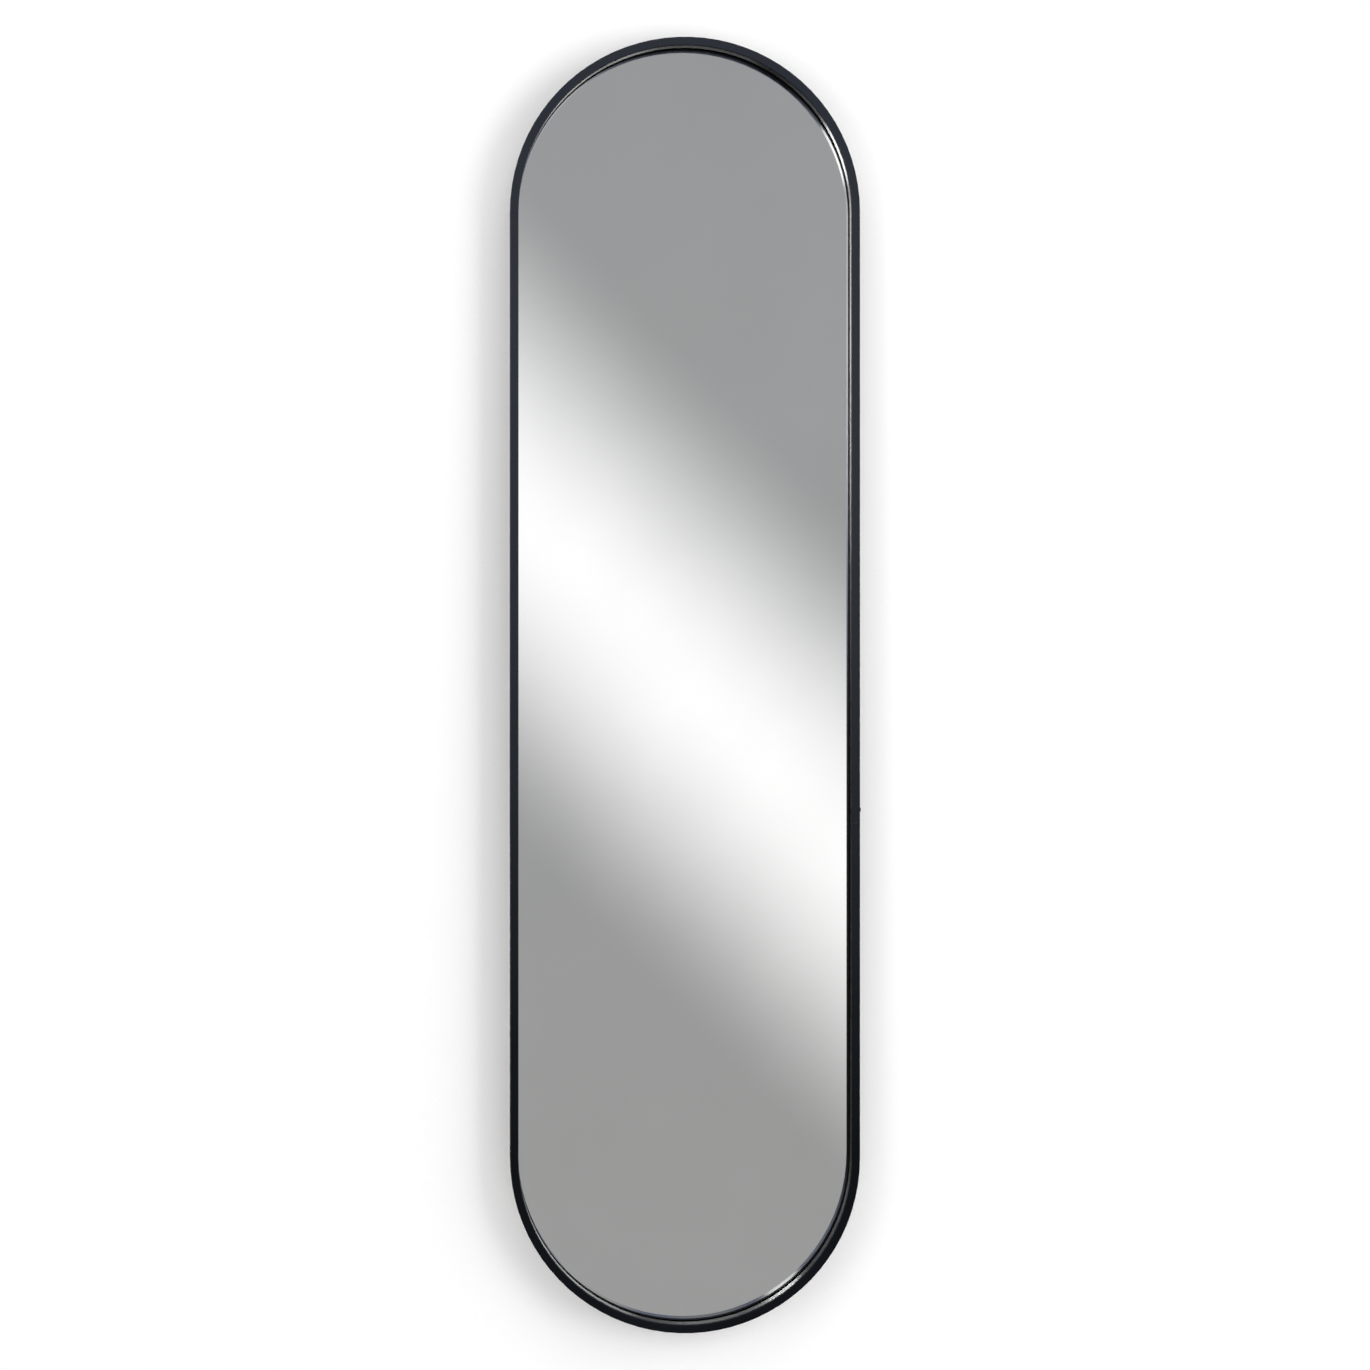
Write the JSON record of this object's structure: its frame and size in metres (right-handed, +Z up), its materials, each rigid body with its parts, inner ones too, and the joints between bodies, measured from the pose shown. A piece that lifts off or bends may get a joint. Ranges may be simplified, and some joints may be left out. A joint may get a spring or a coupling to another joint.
{
  "type": "wall mirror",
  "caption": "Pill-shaped full-length wall mirror in a slim black metal frame, its backing panel held by turn buttons and hung by swinging rings.",
  "frame": {"origin": "middle of the outline, on the plane of the wall that the bumpers meet", "axes": "+X right as seen from the front, +Y into the wall, +Z up; the mirror faces -Y"},
  "size_m": [0.4065, 0.029, 1.4998],
  "materials": {
    "black_coated_aluminium": "satin black powder coat",
    "plain_aluminium": "mill finish",
    "mirror_glass": "polished float glass, silvered behind",
    "black_rubber": "matte",
    "tape": "matte",
    "fibreboard": "matte raw fibreboard",
    "zinc_steel": "satin zinc plating"
  },
  "bodies": {
    "mirror": {"frame_profile": "black_coated_aluminium", "joint_screw": "black_coated_aluminium", "joint_key": "plain_aluminium", "glazing_gasket": "black_rubber", "mirror_glass": "mirror_glass", "tape_strip_left": "tape", "tape_strip_centre": "tape", "tape_strip_right": "tape", "back_panel": "fibreboard", "turn_button_screws": "zinc_steel", "hanger_screws": "zinc_steel", "hanger_strap_left": "zinc_steel", "hanger_strap_right": "zinc_steel", "wall_bumper_upper_left": "black_rubber", "wall_bumper_upper_right": "black_rubber", "wall_bumper_lower_left": "black_rubber", "wall_bumper_lower_right": "black_rubber"},
    "button_top": {"turn_button_top": "zinc_steel"},
    "button_bottom": {"turn_button_bottom": "zinc_steel"},
    "button_left_upper": {"turn_button_left_upper": "zinc_steel"},
    "button_left_middle": {"turn_button_left_middle": "zinc_steel"},
    "button_left_lower": {"turn_button_left_lower": "zinc_steel"},
    "button_right_upper": {"turn_button_right_upper": "zinc_steel"},
    "button_right_middle": {"turn_button_right_middle": "zinc_steel"},
    "button_right_lower": {"turn_button_right_lower": "zinc_steel"},
    "ring_left": {"hanger_ring_left": "zinc_steel"},
    "ring_right": {"hanger_ring_right": "zinc_steel"}
  },
  "joints": [
    {"name": "button_top_turn", "type": "hinge", "parent": "mirror", "child": "button_top", "pos_m": [0, -0.0051, 0.7465], "axis": [0, 1, 0], "range_deg": [-90, 90]},
    {"name": "button_bottom_turn", "type": "hinge", "parent": "mirror", "child": "button_bottom", "pos_m": [0, -0.0051, -0.7465], "axis": [0, 1, 0], "range_deg": [-90, 90]},
    {"name": "button_left_upper_turn", "type": "hinge", "parent": "mirror", "child": "button_left_upper", "pos_m": [-0.199, -0.0051, 0.4], "axis": [0, 1, 0], "range_deg": [-90, 90]},
    {"name": "button_left_middle_turn", "type": "hinge", "parent": "mirror", "child": "button_left_middle", "pos_m": [-0.199, -0.0051, 0], "axis": [0, 1, 0], "range_deg": [-90, 90]},
    {"name": "button_left_lower_turn", "type": "hinge", "parent": "mirror", "child": "button_left_lower", "pos_m": [-0.199, -0.0051, -0.4], "axis": [0, 1, 0], "range_deg": [-90, 90]},
    {"name": "button_right_upper_turn", "type": "hinge", "parent": "mirror", "child": "button_right_upper", "pos_m": [0.199, -0.0051, 0.4], "axis": [0, 1, 0], "range_deg": [-90, 90]},
    {"name": "button_right_middle_turn", "type": "hinge", "parent": "mirror", "child": "button_right_middle", "pos_m": [0.199, -0.0051, 0], "axis": [0, 1, 0], "range_deg": [-90, 90]},
    {"name": "button_right_lower_turn", "type": "hinge", "parent": "mirror", "child": "button_right_lower", "pos_m": [0.199, -0.0051, -0.4], "axis": [0, 1, 0], "range_deg": [-90, 90]},
    {"name": "ring_left_swing", "type": "hinge", "parent": "mirror", "child": "ring_left", "pos_m": [-0.12, -0.0033, 0.5], "axis": [1, 0, 0], "range_deg": [0, 180]},
    {"name": "ring_right_swing", "type": "hinge", "parent": "mirror", "child": "ring_right", "pos_m": [0.12, -0.0033, 0.5], "axis": [1, 0, 0], "range_deg": [0, 180]}
  ]
}
